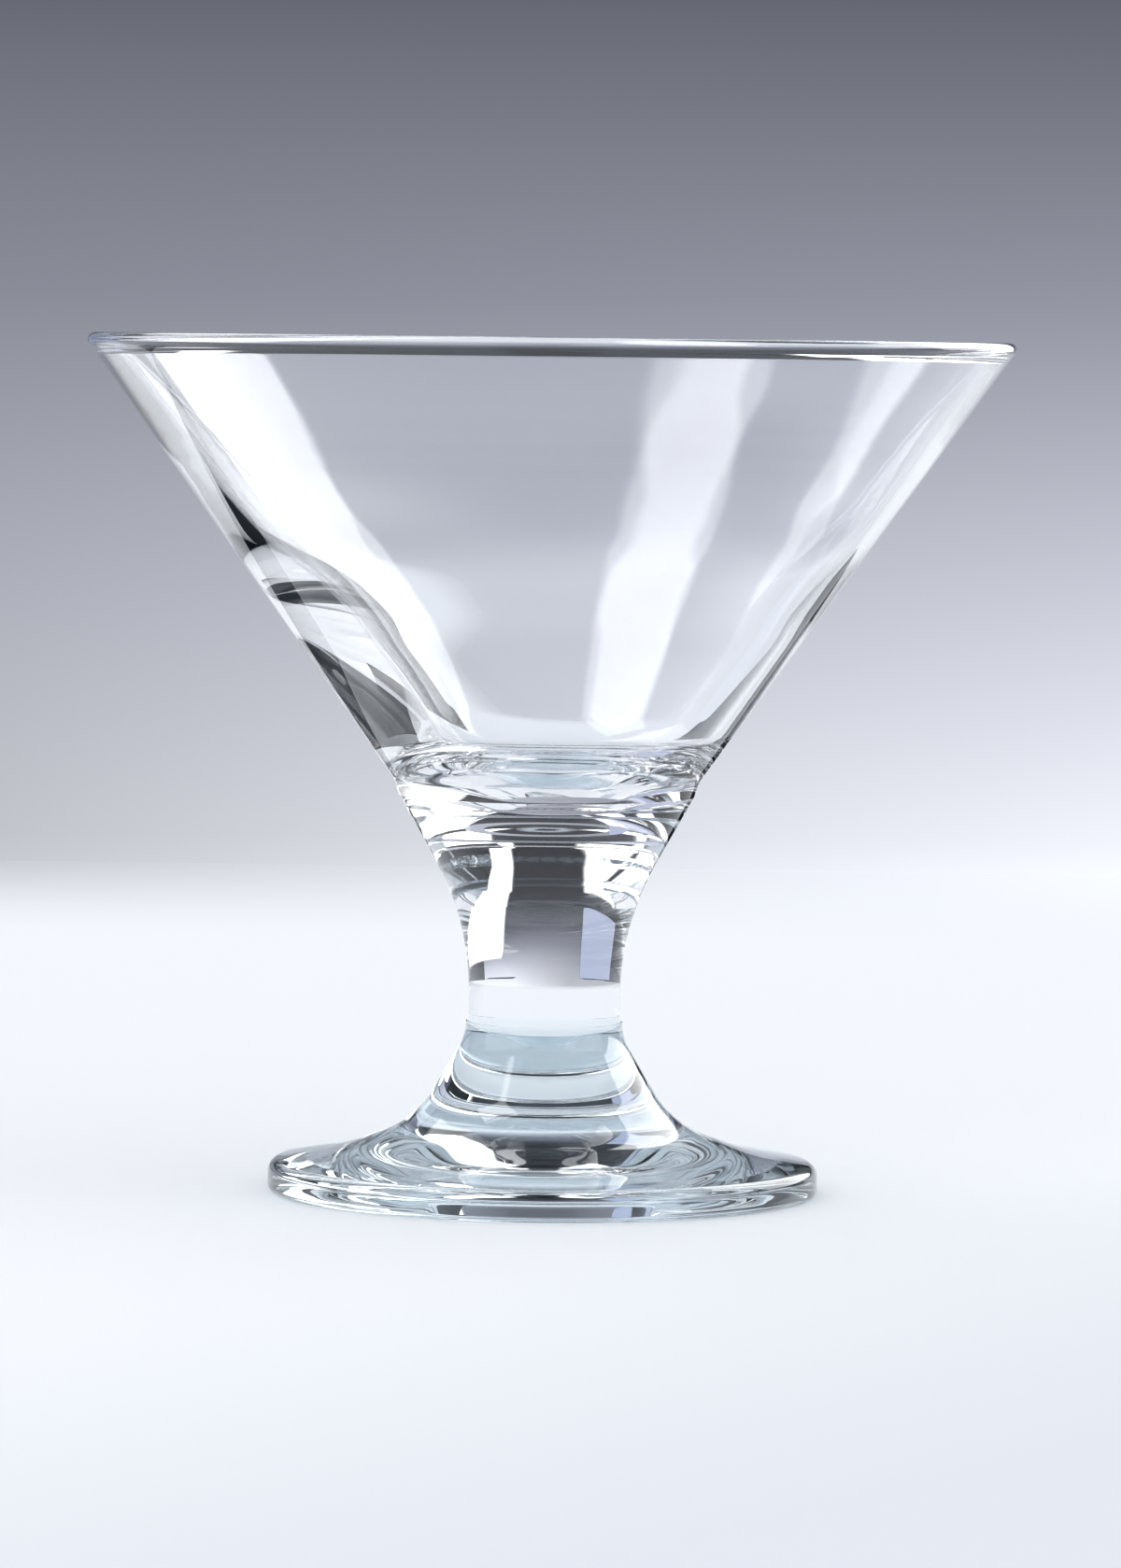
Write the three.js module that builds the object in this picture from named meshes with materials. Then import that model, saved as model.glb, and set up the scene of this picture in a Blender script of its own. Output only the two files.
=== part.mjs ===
// A clear pressed dessert glass: a conical bowl, a short solid stem and a round foot, fused end to end.
// Millimetres, +Z up. The origin is on the glass's axis, in the plane that the foot stands on.
import * as THREE from 'three';

// How each round is drawn: facets in a turn about the axis, and the largest step along an arc of an outline
const TURN_FACETS = 64;
const ARC_STEP = THREE.MathUtils.degToRad(15);

// Foot: a flat disc that sweeps up into a collar
const FOOT_RADIUS = 35.75;
const FOOT_HEIGHT = 22.2; // from the table to the face that the stem is fused to
const FOOT_EDGE_HEIGHT = 3.8;
const FOOT_EDGE_ROUND = 1.5;
const FOOT_BASE_ROUND = 0.8;
const FOOT_PAN_RADIUS = 26.6; // where the flat top starts to climb
const FOOT_PAN_HEIGHT = 5.4;
const FOOT_PAN_SWEEP = 26;
const FOOT_FLARE_RADIUS = 16.9; // where the climb turns steep
const FOOT_FLARE_HEIGHT = 9;
const FOOT_FLARE_SWEEP = 13;
const FOOT_COLLAR_RADIUS = 10.2;
const FOOT_COLLAR_LENGTH = 2;
const FOOT_COLLAR_SWEEP = 15;
const FOOT_RING_WIDTH = 6; // the flat ring that the glass stands on
const FOOT_HOLLOW_DEPTH = 1.2; // the shallow dish inside that ring
const FOOT_HOLLOW_SLOPE = 8;

// Stem: solid, straight at its waist, then opening in a cone under the bowl
const STEM_LENGTH = 28.6; // between its two fused faces
const STEM_WAIST_RADIUS = 9.88;
const STEM_WAIST_LENGTH = 11;
const STEM_WAIST_SWEEP = 38;
const STEM_CONE_LENGTH = 9.3;
const STEM_CONE_BASE_RADIUS = 13.5;
const STEM_CONE_BASE_SWEEP = 40;
const STEM_TOP_RADIUS = 18.7; // the bowl's fused face has the same radius

// Bowl: a straight cone outside, with a low seam where it meets the stem
const BOWL_HEIGHT = 60.2; // from the fused face to the top of the rim
const BOWL_SEAM_RADIUS = 19.2;
const BOWL_SEAM_HEIGHT = 0.85;
const BOWL_SEAM_ROUND = 0.3;
const BOWL_HIP_RADIUS = 19.9; // where the cone starts
const BOWL_HIP_HEIGHT = 2.9;
const BOWL_HIP_ROUND = 2.5;

// Rim: a fire-polished bead that stands a little proud of the wall
const RIM_RADIUS = 60;
const RIM_BEAD_HEIGHT = 1.9;
const RIM_BEAD_WIDTH = 2.65;
const RIM_BEAD_ROUND = 0.95;
const RIM_BEAD_PROUD = 0.05;
const RIM_WALL = 2.1; // across the wall, level, just under the bead

// Cavity: it follows the outside down to a bend, then the wall thickens to a rounded heel around a dished floor
const CAVITY_BEND_HEIGHT = 31.2; // above the fused face, as the heel's height is
const CAVITY_BEND_WALL = 2.7; // across the wall, level, as at the heel
const CAVITY_BEND_ROUND = 60;
const CAVITY_HEEL_HEIGHT = 7;
const CAVITY_HEEL_WALL = 3.5;
const CAVITY_HEEL_ROUND = 12;
const CAVITY_FLOOR_THICKNESS = 2.9; // glass between the flat of the floor and the fused face
const CAVITY_FLOOR_RADIUS = 5.5;
const CAVITY_FLOOR_ROUND = 0.5;

// Heights above the table that follow from the pieces standing on each other
const footJoint = FOOT_HEIGHT;
const bowlJoint = footJoint + STEM_LENGTH;
const rimTop = bowlJoint + BOWL_HEIGHT;

// A corner of an outline: its distance from the axis, its height, and the radius of the round on it
function corner(radius, height, round = 0) {
  return { at: new THREE.Vector2(radius, height), round };
}

// How far a corner's round reaches along each of its two sides
function roundReach(corners, i) {
  if (!corners[i].round || i === 0 || i === corners.length - 1) return 0;
  const here = corners[i].at;
  const before = corners[i - 1].at.clone().sub(here);
  const after = corners[i + 1].at.clone().sub(here);
  return corners[i].round / Math.tan(before.angleTo(after) / 2);
}

// The points of an outline, with each round as a tangent arc. Two rounds that crowd one side share its length.
function outline(corners) {
  const wanted = corners.map((_, i) => roundReach(corners, i));
  const room = corners.slice(1).map((next, i) => {
    const length = next.at.distanceTo(corners[i].at);
    return Math.min(1, length / Math.max(wanted[i] + wanted[i + 1], length));
  });
  return corners.flatMap(({ at }, i) => {
    if (wanted[i] === 0) return [at];
    const reach = wanted[i] * Math.min(room[i - 1], room[i]);
    const toBefore = corners[i - 1].at.clone().sub(at).normalize();
    const toAfter = corners[i + 1].at.clone().sub(at).normalize();
    const half = toBefore.angleTo(toAfter) / 2;
    const radius = reach * Math.tan(half);
    const middle = toBefore.clone().add(toAfter).setLength(radius / Math.sin(half)).add(at);
    const start = toBefore.multiplyScalar(reach).add(at).sub(middle);
    const end = toAfter.multiplyScalar(reach).add(at).sub(middle);
    const turn = Math.atan2(start.cross(end), start.dot(end));
    const steps = Math.max(2, Math.ceil(Math.abs(turn) / ARC_STEP));
    return Array.from({ length: steps + 1 }, (_, k) => {
      return start.clone().rotateAround(new THREE.Vector2(), turn * k / steps).add(middle);
    });
  });
}

// A solid turned about the Z axis from an outline that starts and ends on the axis
function turned(name, corners) {
  const geometry = new THREE.LatheGeometry(outline(corners), TURN_FACETS);
  geometry.rotateX(Math.PI / 2);
  const glass = new THREE.MeshStandardMaterial({
    color: 0xeaf3f5, roughness: 0.03, metalness: 0, transparent: true, opacity: 0.35,
  });
  const mesh = new THREE.Mesh(geometry, glass);
  mesh.name = name;
  return mesh;
}

function foot() {
  const ringInside = FOOT_RADIUS - FOOT_RING_WIDTH;
  return turned('foot', [
    corner(0, FOOT_HOLLOW_DEPTH),
    corner(ringInside - FOOT_HOLLOW_SLOPE, FOOT_HOLLOW_DEPTH, FOOT_PAN_SWEEP),
    corner(ringInside, 0, FOOT_BASE_ROUND),
    corner(FOOT_RADIUS, 0, FOOT_BASE_ROUND),
    corner(FOOT_RADIUS, FOOT_EDGE_HEIGHT, FOOT_EDGE_ROUND),
    corner(FOOT_PAN_RADIUS, FOOT_PAN_HEIGHT, FOOT_PAN_SWEEP),
    corner(FOOT_FLARE_RADIUS, FOOT_FLARE_HEIGHT, FOOT_FLARE_SWEEP),
    corner(FOOT_COLLAR_RADIUS, footJoint - FOOT_COLLAR_LENGTH, FOOT_COLLAR_SWEEP),
    corner(FOOT_COLLAR_RADIUS, footJoint),
    corner(0, footJoint),
  ]);
}

function stem() {
  return turned('stem', [
    corner(0, footJoint),
    corner(STEM_WAIST_RADIUS, footJoint),
    corner(STEM_WAIST_RADIUS, footJoint + STEM_WAIST_LENGTH, STEM_WAIST_SWEEP),
    corner(STEM_CONE_BASE_RADIUS, bowlJoint - STEM_CONE_LENGTH, STEM_CONE_BASE_SWEEP),
    corner(STEM_TOP_RADIUS, bowlJoint),
    corner(0, bowlJoint),
  ]);
}

function bowl() {
  const hip = new THREE.Vector2(BOWL_HIP_RADIUS, bowlJoint + BOWL_HIP_HEIGHT);
  const underBead = rimTop - RIM_BEAD_HEIGHT;
  const wallOutside = RIM_RADIUS - RIM_BEAD_PROUD - RIM_BEAD_ROUND / 2;
  const lean = (wallOutside - hip.x) / (underBead - hip.y);
  const inside = (height, wall) => hip.x + lean * (height - hip.y) - wall;
  const beadInside = RIM_RADIUS - RIM_BEAD_WIDTH;
  const beadShoulder = underBead + RIM_BEAD_ROUND / 2;
  const bend = bowlJoint + CAVITY_BEND_HEIGHT;
  const heel = bowlJoint + CAVITY_HEEL_HEIGHT;
  const floor = bowlJoint + CAVITY_FLOOR_THICKNESS;
  return turned('bowl', [
    corner(0, bowlJoint),
    corner(STEM_TOP_RADIUS, bowlJoint),
    corner(BOWL_SEAM_RADIUS, bowlJoint + BOWL_SEAM_HEIGHT, BOWL_SEAM_ROUND),
    corner(hip.x, hip.y, BOWL_HIP_ROUND),
    corner(wallOutside, underBead),
    corner(RIM_RADIUS, beadShoulder, RIM_BEAD_ROUND),
    corner(RIM_RADIUS, rimTop, RIM_BEAD_ROUND),
    corner(beadInside, rimTop, RIM_BEAD_ROUND),
    corner(beadInside, beadShoulder, RIM_BEAD_ROUND),
    corner(inside(underBead, RIM_WALL), underBead),
    corner(inside(bend, CAVITY_BEND_WALL), bend, CAVITY_BEND_ROUND),
    corner(inside(heel, CAVITY_HEEL_WALL), heel, CAVITY_HEEL_ROUND),
    corner(CAVITY_FLOOR_RADIUS, floor, CAVITY_FLOOR_ROUND),
    corner(0, floor),
  ]);
}

const dessertGlass = new THREE.Group();
dessertGlass.add(foot(), stem(), bowl());

export default dessertGlass;
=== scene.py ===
import math

import bpy
from mathutils import Matrix, Vector


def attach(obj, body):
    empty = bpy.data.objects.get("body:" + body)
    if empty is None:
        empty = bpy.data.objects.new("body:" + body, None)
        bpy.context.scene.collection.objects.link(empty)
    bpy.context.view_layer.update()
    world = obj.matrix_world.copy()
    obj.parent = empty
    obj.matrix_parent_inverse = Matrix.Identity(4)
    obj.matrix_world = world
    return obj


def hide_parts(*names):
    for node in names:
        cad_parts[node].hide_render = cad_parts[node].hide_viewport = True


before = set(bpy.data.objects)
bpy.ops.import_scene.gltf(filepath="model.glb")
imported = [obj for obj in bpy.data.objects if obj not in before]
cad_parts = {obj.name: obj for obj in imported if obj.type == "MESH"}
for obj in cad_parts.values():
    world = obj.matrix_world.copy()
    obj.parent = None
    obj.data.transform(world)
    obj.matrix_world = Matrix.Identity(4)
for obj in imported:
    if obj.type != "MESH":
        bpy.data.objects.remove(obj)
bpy.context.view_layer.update()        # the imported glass: nodes bowl, stem and foot, all on the body "root"
mm = 0.001               # the camera and the glass are set in millimetres, Blender is in metres
scene = bpy.context.scene
scene.view_settings.view_transform = "Standard"
lightBounces = 32        # light crosses many glass faces before it leaves the stem
scene.cycles.max_bounces = lightBounces
scene.cycles.transmission_bounces = lightBounces
scene.cycles.transparent_max_bounces = lightBounces
scene.cycles.glossy_bounces = lightBounces // 2


def toLinear(hexColour):
    parts = [int(hexColour[i:i + 2], 16) / 255 for i in (1, 3, 5)]
    return [c / 12.92 if c <= 0.04045 else ((c + 0.055) / 1.055) ** 2.4 for c in parts] + [1.0]


def addNode(tree, kind, feeds=None, **settings):
    # settings are the node's own properties, feeds are its sockets: a plain value or another node's output
    node = tree.nodes.new(kind)
    for name, value in settings.items():
        setattr(node, name, value)
    for socket, source in (feeds or {}).items():
        if isinstance(source, bpy.types.NodeSocket):
            tree.links.new(source, node.inputs[socket])
        else:
            node.inputs[socket].default_value = source
    return node


def newMaterial(name):
    material = bpy.data.materials.new(name)
    material.use_nodes = True
    material.node_tree.nodes.clear()
    return material


# Camera: level with the rim, about a metre away, looking slightly down
photoFrame = {
    "height": 1679, "focal": 7930,     # pixels, a long portrait lens
    "sensor": 36,                      # along the picture's height
    "distance": 960, "eyeHeight": 110, "side": 1.75,
    "pitchDown": 3.39, "roll": 0.7,    # degrees
    "nearest": 50, "furthest": 60000,  # it sees nothing outside these
}


def addCamera(s):
    data = bpy.data.cameras.new("camera")
    data.sensor_width = s["sensor"]
    data.lens = s["sensor"] * s["focal"] / s["height"]
    data.clip_start = s["nearest"] * mm
    data.clip_end = s["furthest"] * mm
    camera = bpy.data.objects.new("camera", data)
    camera.matrix_world = (
        Matrix.Translation(Vector((s["side"], -s["distance"], s["eyeHeight"])) * mm)
        @ Matrix.Rotation(math.radians(90 - s["pitchDown"]), 4, "X")
        @ Matrix.Rotation(math.radians(s["roll"]), 4, "Z")
    )
    scene.collection.objects.link(camera)
    scene.camera = camera
    print("camera: lens %.1f mm at %.2f m" % (data.lens, s["distance"] * mm))


addCamera(photoFrame)


# Turned pieces: an outline's corners are (distance from the axis, height, radius of the round on the corner)
turning = {
    "segments": 256,                   # in a turn
    "arcStep": 1.8, "fewestSteps": 3,  # degrees, along a round
    "lineStep": 0.9,                   # along a straight side
    "crease": 40,                      # degrees, an edge sharper than this isn't smoothed
    "level": 1e-6,                     # heights that differ by less are the same
}


def roundedCorner(spot, back, onward, reach):
    # an arc from one side of the corner to the other, which touches each at this reach
    half = back.angle(onward) / 2
    middle = spot + (back + onward).normalized() * (reach / math.cos(half))
    start, end = spot + back * reach - middle, spot + onward * reach - middle
    turn = math.atan2(start.x * end.y - start.y * end.x, start.dot(end))
    steps = max(turning["fewestSteps"], math.ceil(abs(math.degrees(turn)) / turning["arcStep"]))
    points = []
    for k in range(steps + 1):
        a = turn * k / steps
        out = start.x * math.cos(a) - start.y * math.sin(a)
        up = start.x * math.sin(a) + start.y * math.cos(a)
        points.append(middle + Vector((out, up)))
    return points


def outline(corners):
    spots = [Vector(corner[:2]) for corner in corners]
    last = len(corners) - 1
    reaches = [0.0] * len(corners)     # how far each round reaches along its two sides
    for i in range(1, last):
        opening = (spots[i - 1] - spots[i]).angle(spots[i + 1] - spots[i])
        reaches[i] = corners[i][2] / math.tan(opening / 2)
    shares = []                        # two rounds that crowd one side share its length
    for i in range(last):
        length = (spots[i + 1] - spots[i]).length
        shares.append(min(1.0, length / max(reaches[i] + reaches[i + 1], length)))
    points = []
    for i, spot in enumerate(spots):
        if reaches[i] == 0:
            points.append(spot)
            continue
        back, onward = (spots[i - 1] - spot).normalized(), (spots[i + 1] - spot).normalized()
        points += roundedCorner(spot, back, onward, reaches[i] * min(shares[i - 1], shares[i]))
    filled = [points[0]]
    for here in points[1:]:
        before = filled[-1]
        steps = max(1, round((here - before).length / turning["lineStep"]))
        filled += [before.lerp(here, k / steps) for k in range(1, steps + 1)]
    return filled


def still(point, a):
    return 0.0                         # for a piece that is true all round


def turnedPiece(name, corners, wave, jointHeights, materials):
    points = outline(corners)
    count = turning["segments"]
    rings = points[1:-1]
    spots, faces, slots = [], [], []
    for point in rings:
        for k in range(count):
            a = 2 * math.pi * k / count
            r = point.x + wave(point, a)
            spots.append((r * math.cos(a) * mm, r * math.sin(a) * mm, point.y * mm))
    spots += [(0, 0, points[0].y * mm), (0, 0, points[-1].y * mm)]
    firstPole, lastPole = len(spots) - 2, len(spots) - 1

    def isJoint(a, b):
        return any(max(abs(a.y - h), abs(b.y - h)) < turning["level"] for h in jointHeights)

    for k in range(count):
        n = (k + 1) % count
        faces.append((firstPole, n, k))
        slots.append(int(isJoint(points[0], points[1])))
        for row in range(len(rings) - 1):
            low, high = row * count, (row + 1) * count
            faces.append((low + k, low + n, high + n, high + k))
            slots.append(int(isJoint(rings[row], rings[row + 1])))
        top = (len(rings) - 1) * count
        faces.append((lastPole, top + k, top + n))
        slots.append(int(isJoint(points[-2], points[-1])))
    mesh = bpy.data.meshes.new(name)
    mesh.from_pydata(spots, [], faces)
    for material in materials:
        mesh.materials.append(material)
    mesh.polygons.foreach_set("material_index", slots)
    mesh.polygons.foreach_set("use_smooth", [True] * len(faces))
    mesh.set_sharp_from_angle(angle=math.radians(turning["crease"]))
    mesh.validate()
    piece = bpy.data.objects.new(name, mesh)
    scene.collection.objects.link(piece)
    print("%s: %d rings, %d faces" % (name, len(rings), len(faces)))
    return piece


# Clear soda-lime glass, pressed and fire polished: no colour face on, sharp reflections, a cold tint in depth
glassFinish = {"IOR": 1.52, "Roughness": 0.0, "Transmission Weight": 1.0}


def sodaLimeGlass(name, tint):
    material = newMaterial(name)
    tree = material.node_tree
    glass = addNode(tree, "ShaderNodeBsdfPrincipled", {"Base Color": toLinear(tint), **glassFinish})
    addNode(tree, "ShaderNodeOutputMaterial", {"Surface": glass.outputs["BSDF"]})
    return material


# Fused joint: the two hot faces became one body of glass, so the eye sees nothing there
def fusedJoint():
    material = newMaterial("fused joint")
    tree = material.node_tree
    clear = addNode(tree, "ShaderNodeBsdfTransparent")
    addNode(tree, "ShaderNodeOutputMaterial", {"Surface": clear.outputs["BSDF"]})
    return material


joint = fusedJoint()

# Foot: a disc on a flat ring, which sweeps up into a collar
foot = {
    "radius": 35.75, "height": 22.2, "edge": 3.8, "edgeRound": 1.5, "baseRound": 0.8,
    "pan": (26.6, 5.4), "panSweep": 26, "flare": (16.9, 9.0), "flareSweep": 13,
    "collar": 10.2, "collarLength": 2.0, "collarSweep": 15,
    "ring": 6.0, "hollow": 1.2, "hollowSlope": 8.0, "tint": "#f0f9fd",
}
footJoint = foot["height"]


def makeFoot(s):
    ringInside = s["radius"] - s["ring"]
    corners = [
        (0, s["hollow"], 0),
        (ringInside - s["hollowSlope"], s["hollow"], s["panSweep"]),
        (ringInside, 0, s["baseRound"]),
        (s["radius"], 0, s["baseRound"]),
        (s["radius"], s["edge"], s["edgeRound"]),
        (*s["pan"], s["panSweep"]),
        (*s["flare"], s["flareSweep"]),
        (s["collar"], footJoint - s["collarLength"], s["collarSweep"]),
        (s["collar"], footJoint, 0),
        (0, footJoint, 0),
    ]
    glass = sodaLimeGlass("soda-lime glass, foot", s["tint"])
    return turnedPiece("foot_glass", corners, still, [footJoint], [glass, joint])


# Stem: a solid waist that opens in a cone under the bowl
stem = {
    "length": 28.6, "waist": 9.88, "waistLength": 11.0, "waistSweep": 38,
    "coneLength": 9.3, "coneBase": 13.5, "coneBaseRound": 40, "top": 18.7, "tint": "#fcfdff",
}
bowlJoint = footJoint + stem["length"]


def makeStem(s):
    corners = [
        (0, footJoint, 0),
        (s["waist"], footJoint, 0),
        (s["waist"], footJoint + s["waistLength"], s["waistSweep"]),
        (s["coneBase"], bowlJoint - s["coneLength"], s["coneBaseRound"]),
        (s["top"], bowlJoint, 0),
        (0, bowlJoint, 0),
    ]
    glass = sodaLimeGlass("soda-lime glass, stem", s["tint"])
    return turnedPiece("stem_glass", corners, still, [footJoint, bowlJoint], [glass, joint])


# Bowl: a straight cone outside, with a beaded rim and a cavity that a plunger pressed a little out of true
bowl = {
    "height": 60.2, "seam": (19.2, 0.85), "seamRound": 0.3, "hip": (19.9, 2.9), "hipRound": 2.5,
    "rim": 60.0, "beadHeight": 1.9, "beadWidth": 2.65, "beadRound": 0.95, "beadProud": 0.05, "wall": 2.1,
    # height above the stem, wall, round: thin at the rim, thicker in two steps, then the cavity's heel
    "walls": [(46.2, 2.6, 400), (33.2, 2.65, 150), (24.0, 3.3, 150), (7.0, 3.8, 12)],
    "floorThickness": 2.9, "floorRadius": 5.5, "floorRound": 0.5, "tint": "#fcfdff",
    # height, how far to the right the cavity is there
    "lean": [(53.9, 0.7), (59.2, 0.6), (82.0, 0.4), (108.4, 0.2)],
    "leanReach": 4,                                        # nearer the axis it leans less
    "skin": 1.0,                                           # the outside and the rim's top stay true
    # degrees from straight behind to the right, height, spread in degrees, spread in mm, thicker by mm
    "swells": [
        (-42, 84.5, 22, 5, 0.6), (-42, 69.5, 18, 5, 0.4),  # the steps in the left band of light
        (22, 93, 13, 5, -0.15), (27, 80, 13, 6, 0.4),      # the pinches in the middle band
        (36, 101, 12, 5, 0.15),
        (66, 87, 14, 5, 0.5),                              # the hook in the right band
        (-110, 64, 45, 18, 2.4),                           # the thick left side, dark at its edge
    ],
}
rimTop = bowlJoint + bowl["height"]


def between(stops, at):
    # straight lines through (position, value) pairs
    if at <= stops[0][0]:
        return stops[0][1]
    for (a, low), (b, high) in zip(stops, stops[1:]):
        if at <= b:
            return low + (high - low) * (at - a) / (b - a)
    return stops[-1][1]


def makeBowl(s):
    floor = bowlJoint + s["floorThickness"]
    underBead = rimTop - s["beadHeight"]
    wallOutside = s["rim"] - s["beadProud"] - s["beadRound"] / 2
    beadInside = s["rim"] - s["beadWidth"]
    beadShoulder = underBead + s["beadRound"] / 2
    hipRadius, hipHeight = s["hip"][0], bowlJoint + s["hip"][1]
    slope = (wallOutside - hipRadius) / (underBead - hipHeight)

    def inside(height, wall):
        return hipRadius + slope * (height - hipHeight) - wall

    corners = [
        (0, bowlJoint, 0),
        (stem["top"], bowlJoint, 0),
        (s["seam"][0], bowlJoint + s["seam"][1], s["seamRound"]),
        (hipRadius, hipHeight, s["hipRound"]),
        (wallOutside, underBead, 0),
        (s["rim"], beadShoulder, s["beadRound"]),
        (s["rim"], rimTop, s["beadRound"]),
        (beadInside, rimTop, s["beadRound"]),
        (beadInside, beadShoulder, s["beadRound"]),
        (inside(underBead, s["wall"]), underBead, 0),
        *[(inside(bowlJoint + height, wall), bowlJoint + height, bend) for height, wall, bend in s["walls"]],
        (s["floorRadius"], floor, s["floorRound"]),
        (0, floor, 0),
    ]
    skin = s["skin"]

    def swell(point, a):
        isCavity = floor - skin < point.y < rimTop - skin and point.x < inside(point.y, skin)
        if not isCavity:
            return 0.0
        total = between(s["lean"], point.y) * min(1.0, point.x / s["leanReach"]) * math.cos(a)
        for angle, height, wide, tall, depth in s["swells"]:
            turn = (90 - math.degrees(a) - angle + 180) % 360 - 180
            total -= depth * math.exp(-(turn / wide) ** 2 - ((point.y - height) / tall) ** 2)
        return total

    glass = sodaLimeGlass("soda-lime glass, bowl", s["tint"])
    return turnedPiece("bowl_glass", corners, swell, [bowlJoint], [glass, joint])


for piece, node in ((makeFoot(foot), "foot"), (makeStem(stem), "stem"), (makeBowl(bowl), "bowl")):
    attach(piece, "root")
    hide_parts(node)


# Studio, in metres: a white table, a grey card behind it, a dark room, soft panels and two black boards
def stagePiece(name, spots, faces, material):
    mesh = bpy.data.meshes.new(name)
    mesh.from_pydata(spots, [], faces)
    mesh.materials.append(material)
    piece = bpy.data.objects.new(name, mesh)
    scene.collection.objects.link(piece)
    return piece


def showInGlassOnly(piece):
    # it neither lights nor shades the table, which has the room's even light
    piece.visible_camera = False
    piece.visible_diffuse = False
    piece.visible_shadow = False


def fillRamp(ramp, stops):
    low, high = stops[0][0], stops[-1][0]
    elements = ramp.color_ramp.elements
    while len(elements) < len(stops):
        elements.new(0.5)
    for element, (at, colour) in zip(elements, stops):
        element.position = (at - low) / (high - low)
        element.color = toLinear(colour)


def seenDirectly(tree):
    # 1 for what the camera sees straight, mirrored or through glass, 0 for the light that falls on the table
    path = addNode(tree, "ShaderNodeLightPath")
    seen = path.outputs["Is Camera Ray"]
    for name in ("Is Glossy Ray", "Is Transmission Ray"):
        either = addNode(tree, "ShaderNodeMath", {0: seen, 1: path.outputs[name]}, operation="MAXIMUM")
        seen = either.outputs[0]
    first = addNode(tree, "ShaderNodeMath", {0: path.outputs["Diffuse Depth"], 1: 0.5}, operation="LESS_THAN")
    both = addNode(tree, "ShaderNodeMath", {0: seen, 1: first.outputs[0]}, operation="MULTIPLY")
    return both.outputs[0]


# Painted card, matt, with painted shade and light: pale at the table, painted shade darker upwards, and
# painted light a little brighter to the right low down
card = {
    "behind": 0.6, "width": 1.0, "height": 0.55,
    "sunk": 0.01,                                          # it reaches this far below the table
    "stops": [                                             # height, colour: painted shade, darker upwards
        (0.0, "#e3e6ee"), (0.006, "#dcdfe7"), (0.06, "#bcbfca"), (0.12, "#8f929e"),
        (0.185, "#646771"), (0.30, "#3b3d44"), (0.55, "#242529"),
    ],
    "rightPaintedLight": 2.2, "paintedLightRange": (0.7, 1.35),            # painted light: brighter by this share a metre, within the range
    "paintedLightTop": 0.17,                                       # no painted light above this height
}


# painted light and shade across: brighter to the right, darker to the left, held within the range
def paintedSideLight(tree, across, paintedLight):
    level = addNode(tree, "ShaderNodeMath", {0: across, 1: paintedLight, 2: 1.0}, operation="MULTIPLY_ADD")
    darkest, brightest = card["paintedLightRange"]
    held = addNode(tree, "ShaderNodeClamp", {"Value": level.outputs[0], "Min": darkest, "Max": brightest})
    return held.outputs["Result"]


def addCard(s):
    material = newMaterial("grey card, matt, with painted shade and light")
    tree = material.node_tree
    place = addNode(tree, "ShaderNodeNewGeometry")
    split = addNode(tree, "ShaderNodeSeparateXYZ", {"Vector": place.outputs["Position"]})
    height = split.outputs["Z"]
    # painted shade: the ramp darkens the card upwards
    share = addNode(tree, "ShaderNodeMapRange", {"Value": height, "From Max": s["stops"][-1][0]})
    ramp = addNode(tree, "ShaderNodeValToRGB", {"Fac": share.outputs["Result"]})
    fillRamp(ramp, s["stops"])
    # painted light: the lift to the right fades out by its top height
    paintedLight = addNode(tree, "ShaderNodeMapRange", {
        "Value": height, "From Max": s["paintedLightTop"], "To Min": s["rightPaintedLight"], "To Max": 0.0})
    level = paintedSideLight(tree, split.outputs["X"], paintedLight.outputs["Result"])
    fill = addNode(tree, "ShaderNodeEmission", {"Color": toLinear(room["fill"])})
    seen = addNode(tree, "ShaderNodeEmission", {"Color": ramp.outputs["Color"], "Strength": level})
    shown = addNode(tree, "ShaderNodeMixShader", {
        0: seenDirectly(tree), 1: fill.outputs["Emission"], 2: seen.outputs["Emission"]})
    clear = addNode(tree, "ShaderNodeBsdfTransparent")     # from behind, the card doesn't hide the glass
    sides = addNode(tree, "ShaderNodeMixShader", {
        0: place.outputs["Backfacing"], 1: shown.outputs["Shader"], 2: clear.outputs["BSDF"]})
    addNode(tree, "ShaderNodeOutputMaterial", {"Surface": sides.outputs["Shader"]})
    half, back, low, high = s["width"] / 2, s["behind"], -s["sunk"], s["height"]
    spots = [(-half, back, low), (half, back, low), (half, back, high), (-half, back, high)]
    stagePiece("card", spots, [(0, 1, 2, 3)], material)
    print("card: %.1f x %.2f m" % (s["width"], s["height"]))


# White laminate, matt: no mirror image in it, painted shade greyer towards the camera, and at the back the
# card's tone with its painted shade and light
table = {
    "radius": 1.9, "sides": 96,
    "sunk": 0.00002,                                       # a hair under the foot
    "white": "#f5f9ff", "frontShade": "#e6ebf4", "roughness": 0.6,
    "frontEdge": -0.30, "whiteEdge": -0.08,                # painted shade: it greys from the second to the first
    "slant": 1.5,                                          # the painted shade slants: the white reaches further forward on the left
    "fadeStart": 0.40, "fadeEnd": 0.64,                    # between these it takes on the card's tone, with painted shade to the left and painted light to the right
}


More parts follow.
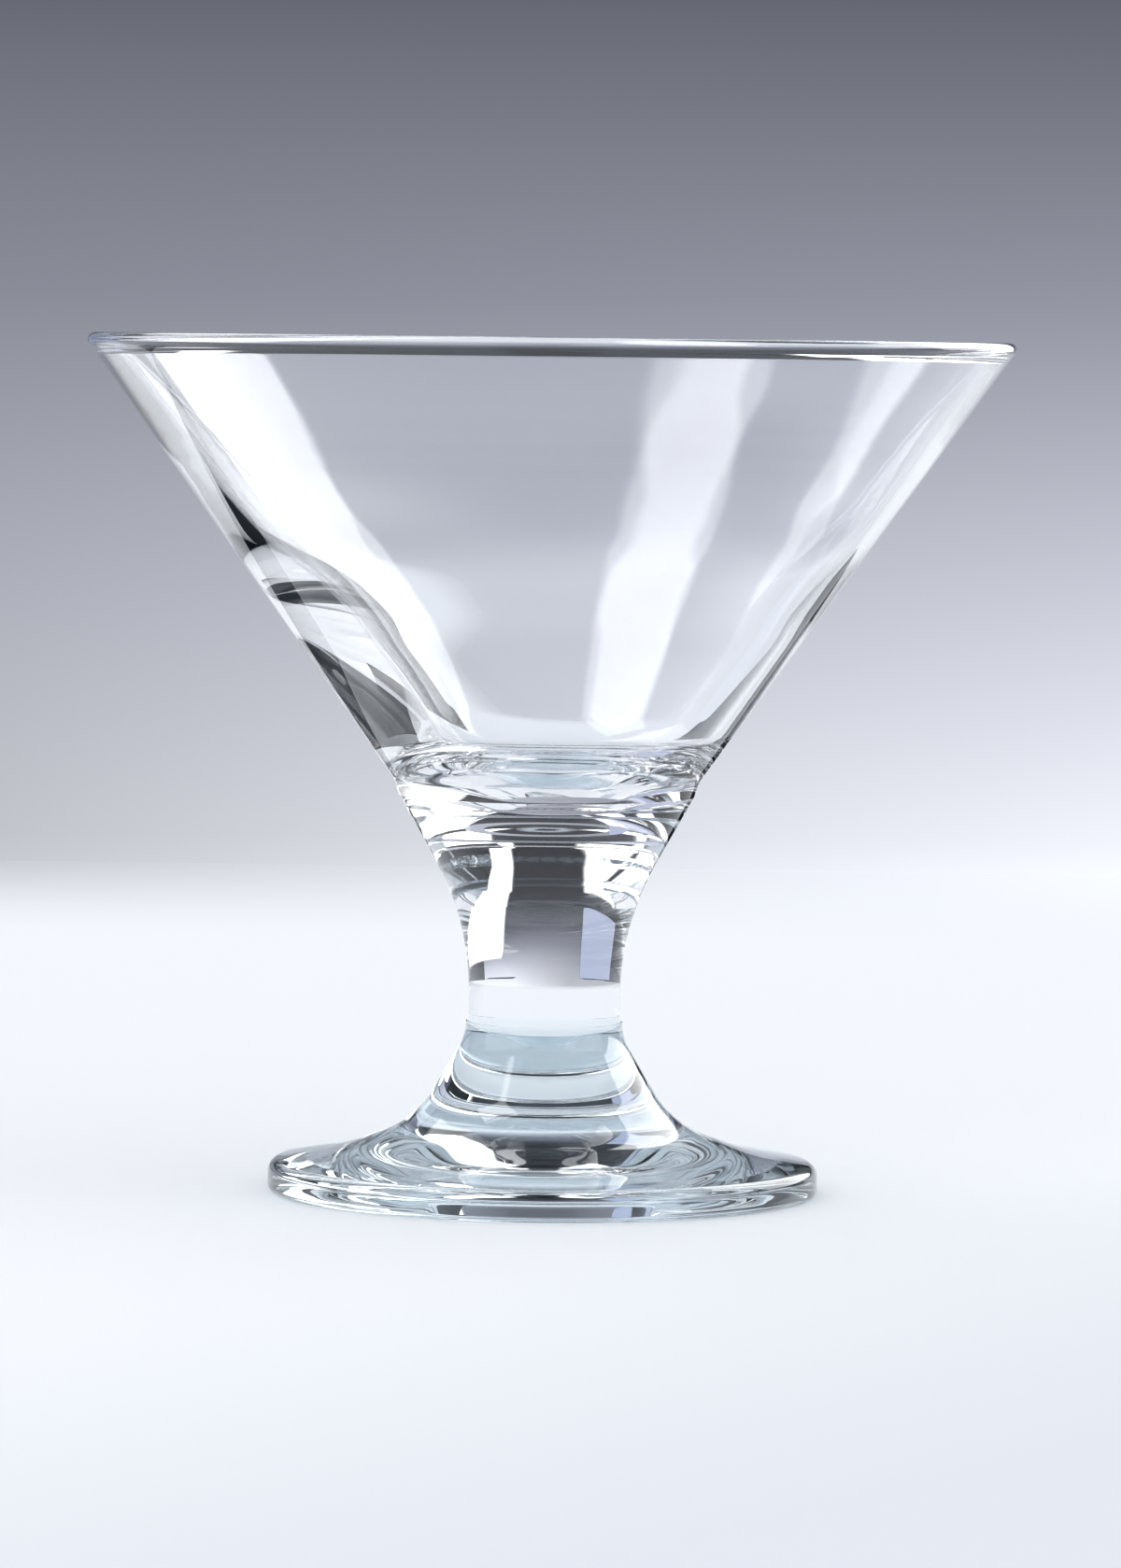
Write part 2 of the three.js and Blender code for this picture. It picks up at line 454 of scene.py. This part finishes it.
def addTable(s):
    material = newMaterial("white laminate, matt, with painted shade and light")
    tree = material.node_tree
    place = addNode(tree, "ShaderNodeNewGeometry")
    split = addNode(tree, "ShaderNodeSeparateXYZ", {"Vector": place.outputs["Position"]})
    across, along = split.outputs["X"], split.outputs["Y"]
    # painted shade, greyer towards the camera
    slanted = addNode(tree, "ShaderNodeMath", {0: across, 1: -s["slant"], 2: along}, operation="MULTIPLY_ADD")
    share = addNode(tree, "ShaderNodeMapRange", {
        "Value": slanted.outputs[0], "From Min": s["frontEdge"], "From Max": s["whiteEdge"]})
    ramp = addNode(tree, "ShaderNodeValToRGB", {"Fac": share.outputs["Result"]})
    fillRamp(ramp, [(0.0, s["frontShade"]), (1.0, s["white"])])
    # painted shade and light at the back: the card's foot colour, darker to the left and brighter to the
    # right
    cardFoot = toLinear(card["stops"][0][1])[:3]
    paintedLight = paintedSideLight(tree, across, card["rightPaintedLight"])
    far = addNode(tree, "ShaderNodeVectorMath", {0: cardFoot, "Scale": paintedLight}, operation="SCALE")
    fade = addNode(tree, "ShaderNodeMapRange", {
        "Value": along, "From Min": s["fadeStart"], "From Max": s["fadeEnd"],
    }, interpolation_type="SMOOTHSTEP")
    colour = addNode(tree, "ShaderNodeMix", {
        0: fade.outputs["Result"], 6: ramp.outputs["Color"], 7: far.outputs["Vector"]}, data_type="RGBA")
    lit = addNode(tree, "ShaderNodeBsdfPrincipled", {
        "Base Color": colour.outputs[2], "Roughness": s["roughness"], "Specular IOR Level": 0.0})
    addNode(tree, "ShaderNodeOutputMaterial", {"Surface": lit.outputs["BSDF"]})
    turn = [2 * math.pi * k / s["sides"] for k in range(s["sides"])]
    spots = [(s["radius"] * math.cos(a), s["radius"] * math.sin(a), -s["sunk"]) for a in turn]
    stagePiece("table", spots, [list(range(s["sides"]))], material)
    print("table: %.1f m across" % (2 * s["radius"]))


# Dark room: what the glass picks up past the card, and white for the even light on the table
room = {
    # sine of the elevation, colour
    "stops": [(-0.05, "#8c8f98"), (0.0, "#5a5c64"), (0.10, "#3a3b40"), (0.25, "#2c2d32"), (1.0, "#1c1d20")],
    "fill": "#ffffff",
}


def addRoom(s):
    world = bpy.data.worlds.new("studio")
    world.use_nodes = True
    scene.world = world
    tree = world.node_tree
    tree.nodes.clear()
    place = addNode(tree, "ShaderNodeTexCoord")
    split = addNode(tree, "ShaderNodeSeparateXYZ", {"Vector": place.outputs["Generated"]})
    share = addNode(tree, "ShaderNodeMapRange", {
        "Value": split.outputs["Z"], "From Min": s["stops"][0][0], "From Max": s["stops"][-1][0]})
    ramp = addNode(tree, "ShaderNodeValToRGB", {"Fac": share.outputs["Result"]})
    fillRamp(ramp, s["stops"])
    seen = addNode(tree, "ShaderNodeBackground", {"Color": ramp.outputs["Color"]})
    fill = addNode(tree, "ShaderNodeBackground", {"Color": toLinear(s["fill"])})
    mix = addNode(tree, "ShaderNodeMixShader", {
        0: seenDirectly(tree), 1: fill.outputs["Background"], 2: seen.outputs["Background"]})
    addNode(tree, "ShaderNodeOutputWorld", {"Surface": mix.outputs["Shader"]})
    print("room: %d tones" % len(s["stops"]))


# White diffusers, lit from behind: the bright bands in the glass
panelRing = {"distance": 0.55, "middle": 0.08}             # from the middle of the bowl, and its height
panels = {
    # degrees from straight behind to the right, degrees up, brightness, share of a side that fades out
    "right": {
        "azimuth": (16.9, 78), "elevation": (0, 49), "radiance": 4.5, "soft": 0.06, "colour": "#ffffff"},
    "left": {
        "azimuth": (-52, -14), "elevation": (28, 58), "radiance": 2.5, "soft": 0.14, "colour": "#ffffff"},
    "frontRight": {
        "azimuth": (80, 175), "elevation": (-4, 34), "radiance": 0.8, "soft": 0.15, "colour": "#e6f0fa"},
    "frontLeft": {
        "azimuth": (-175, -80), "elevation": (-4, 34), "radiance": 0.8, "soft": 0.15, "colour": "#e6f0fa"},
    "leftLow": {
        "azimuth": (-47, -18), "elevation": (-6, 20), "radiance": 0.7, "soft": 0.02, "colour": "#d6e0ff"},
    "overhead": {
        "azimuth": (-137.7, -80.7), "elevation": (43, 72),
        "radiance": 4.5, "soft": 0.12, "colour": "#ffffff"},
}


def softEdge(tree, along, soft):
    # 0 at both ends of a side, 1 across its middle
    other = addNode(tree, "ShaderNodeMath", {0: 1.0, 1: along}, operation="SUBTRACT")
    nearest = addNode(tree, "ShaderNodeMath", {0: along, 1: other.outputs[0]}, operation="MINIMUM")
    rise = addNode(tree, "ShaderNodeMapRange", {
        "Value": nearest.outputs[0], "From Max": soft}, interpolation_type="SMOOTHSTEP")
    return rise.outputs["Result"]


def addPanel(name, s):
    material = newMaterial("white diffuser, lit from behind")
    material.cycles.emission_sampling = "NONE"
    tree = material.node_tree
    place = addNode(tree, "ShaderNodeTexCoord")
    split = addNode(tree, "ShaderNodeSeparateXYZ", {"Vector": place.outputs["Generated"]})
    sides = [softEdge(tree, split.outputs[axis], s["soft"]) for axis in ("X", "Y")]
    both = addNode(tree, "ShaderNodeMath", {0: sides[0], 1: sides[1]}, operation="MULTIPLY")
    level = addNode(tree, "ShaderNodeMath", {0: both.outputs[0], 1: s["radiance"]}, operation="MULTIPLY")
    glow = addNode(tree, "ShaderNodeEmission", {"Color": toLinear(s["colour"]), "Strength": level.outputs[0]})
    clear = addNode(tree, "ShaderNodeBsdfTransparent")
    mix = addNode(tree, "ShaderNodeMixShader", {
        0: both.outputs[0], 1: clear.outputs["BSDF"], 2: glow.outputs["Emission"]})
    addNode(tree, "ShaderNodeOutputMaterial", {"Surface": mix.outputs["Shader"]})
    azimuth, elevation = (math.radians(sum(s[key]) / 2) for key in ("azimuth", "elevation"))
    flat = math.cos(elevation)
    toward = Vector((math.sin(azimuth) * flat, math.cos(azimuth) * flat, math.sin(elevation)))
    distance = panelRing["distance"]
    wide, tall = (math.radians(s[key][1] - s[key][0]) for key in ("azimuth", "elevation"))
    x, y = distance * math.tan(wide / 2) * flat, distance * math.tan(tall / 2)
    panel = stagePiece(name, [(-x, -y, 0), (x, -y, 0), (x, y, 0), (-x, y, 0)], [(0, 1, 2, 3)], material)
    panel.location = Vector((0, 0, panelRing["middle"])) + toward * distance
    panel.rotation_mode = "QUATERNION"
    panel.rotation_quaternion = toward.to_track_quat("Z", "Y")
    showInGlassOnly(panel)
    print("panel %s: %.2f x %.2f m" % (name, 2 * x, 2 * y))


# Black boards, matt: the glass shows them as dark patches. They lie level behind it, lower than the bowl.
boardStock = {"colour": "#2a2f34", "height": 0.027, "steps": 12}
boards = {
    # degrees from straight behind to the right, distance of the near and the far edge from the axis
    "boardLeft": {"azimuth": (-60, -19), "reach": (0.088, 0.176)},
    "boardRight": {"azimuth": (14, 34), "reach": (0.075, 0.2)},
}


def addBoard(name, s):
    material = newMaterial("black board, matt")
    tree = material.node_tree
    black = addNode(tree, "ShaderNodeEmission", {"Color": toLinear(boardStock["colour"])})
    addNode(tree, "ShaderNodeOutputMaterial", {"Surface": black.outputs["Emission"]})
    steps = boardStock["steps"]
    first, last = (math.radians(angle) for angle in s["azimuth"])
    turn = [first + (last - first) * k / steps for k in range(steps + 1)]
    spots = [(r * math.sin(a), r * math.cos(a), boardStock["height"]) for r in s["reach"] for a in turn]
    faces = [(k, k + 1, k + steps + 2, k + steps + 1) for k in range(steps)]
    board = stagePiece(name, spots, faces, material)
    showInGlassOnly(board)
    print("board %s: %.2f m deep" % (name, s["reach"][1] - s["reach"][0]))


addTable(table)
addCard(card)
addRoom(room)
for name, settings in panels.items():
    addPanel(name, settings)
for name, settings in boards.items():
    addBoard(name, settings)
